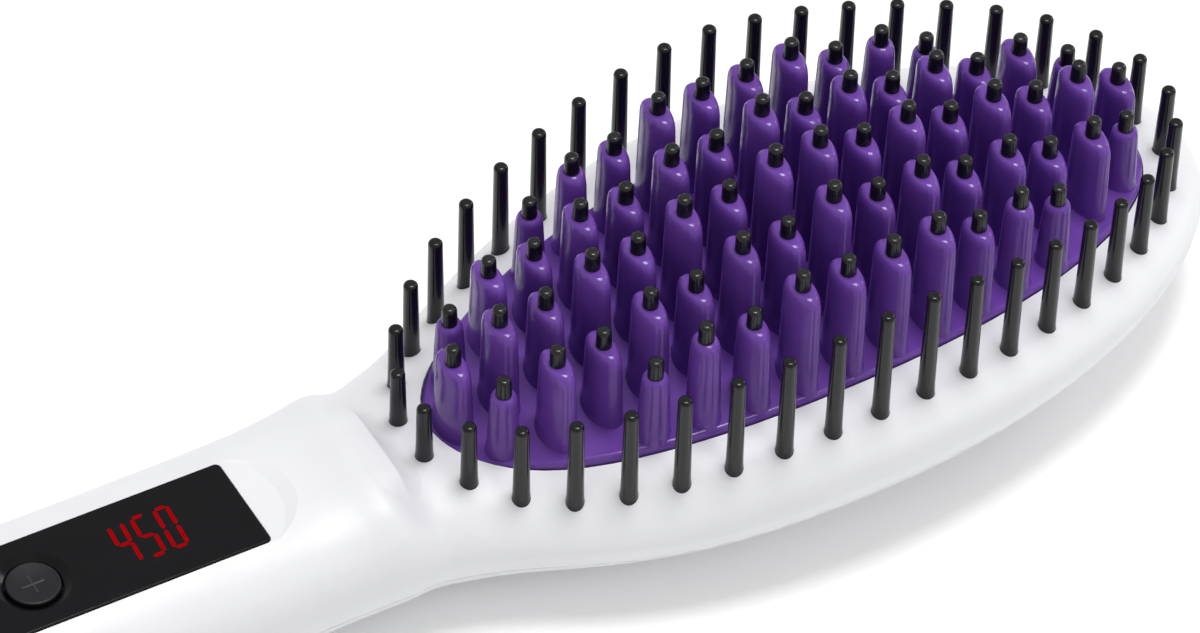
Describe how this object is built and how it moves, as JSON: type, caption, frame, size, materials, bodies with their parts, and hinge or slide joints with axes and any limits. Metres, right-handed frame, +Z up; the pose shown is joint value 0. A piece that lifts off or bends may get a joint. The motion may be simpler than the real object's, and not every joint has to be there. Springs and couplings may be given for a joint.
{
  "type": "hair straightening brush",
  "caption": "Oval heated hair brush: finned metal plate with insulated tips, a ring of guard pins, a two-part shell, a control panel with press buttons and a swivel cord gland.",
  "frame": {"origin": "on the table under the middle of the brush's bounding box", "axes": "+X along the brush towards the tip of the head, +Z up out of the bristles, Y = 0 the plane of symmetry"},
  "size_m": [0.284, 0.072, 0.051],
  "materials": {
    "white_shell": "soft satin",
    "purple_plate": "glossy coated",
    "black_nylon": "satin",
    "panel_black": "gloss",
    "grey_plastic": "matt",
    "silicone": "matt",
    "ceramic": "matt",
    "mica": "satin",
    "clamp_steel": "brushed",
    "screw_steel": "zinc plated",
    "board_green": "solder mask",
    "display_red": "gloss",
    "capacitor_yellow": "gloss",
    "gland_black": "matt"
  },
  "bodies": {
    "housing": {"upper_housing": "white_shell", "lower_housing": "white_shell", "heater_plate": "purple_plate", "tooth_tips": "black_nylon", "rim_pins": "black_nylon", "plate_gasket": "silicone", "heaters": "ceramic", "insulation_sheet": "mica", "heater_clamp": "clamp_steel", "clamp_screws": "screw_steel", "plate_screws": "screw_steel", "thermal_fuse": "screw_steel", "temperature_sensor": "grey_plastic", "heater_leads": "silicone", "panel_window": "panel_black", "push_switches": "grey_plastic", "control_board": "board_green", "board_screws": "screw_steel", "display_block": "display_red", "mains_capacitor": "capacitor_yellow", "heater_switch": "grey_plastic", "mains_terminal": "grey_plastic", "housing_screws": "screw_steel"},
    "plus_button": {"button_plus": "panel_black", "stem_plus": "grey_plastic"},
    "power_button": {"button_power": "panel_black", "stem_power": "grey_plastic"},
    "minus_button": {"button_minus": "panel_black", "stem_minus": "grey_plastic"},
    "cord_gland": {"swivel_gland": "gland_black"}
  },
  "joints": [
    {"name": "plus_press", "type": "slide", "parent": "housing", "child": "plus_button", "axis": [-0.061, 0, -0.9981], "range_m": [0, 0.0005], "stiffness_N_per_m": 1200},
    {"name": "power_press", "type": "slide", "parent": "housing", "child": "power_button", "axis": [-0.061, 0, -0.9981], "range_m": [0, 0.0005], "stiffness_N_per_m": 1200},
    {"name": "minus_press", "type": "slide", "parent": "housing", "child": "minus_button", "axis": [-0.061, 0, -0.9981], "range_m": [0, 0.0005], "stiffness_N_per_m": 1200},
    {"name": "cord_swivel", "type": "hinge", "parent": "housing", "child": "cord_gland", "pos_m": [-0.136, 0, 0.02073], "axis": [1, 0, 0], "continuous": true}
  ]
}
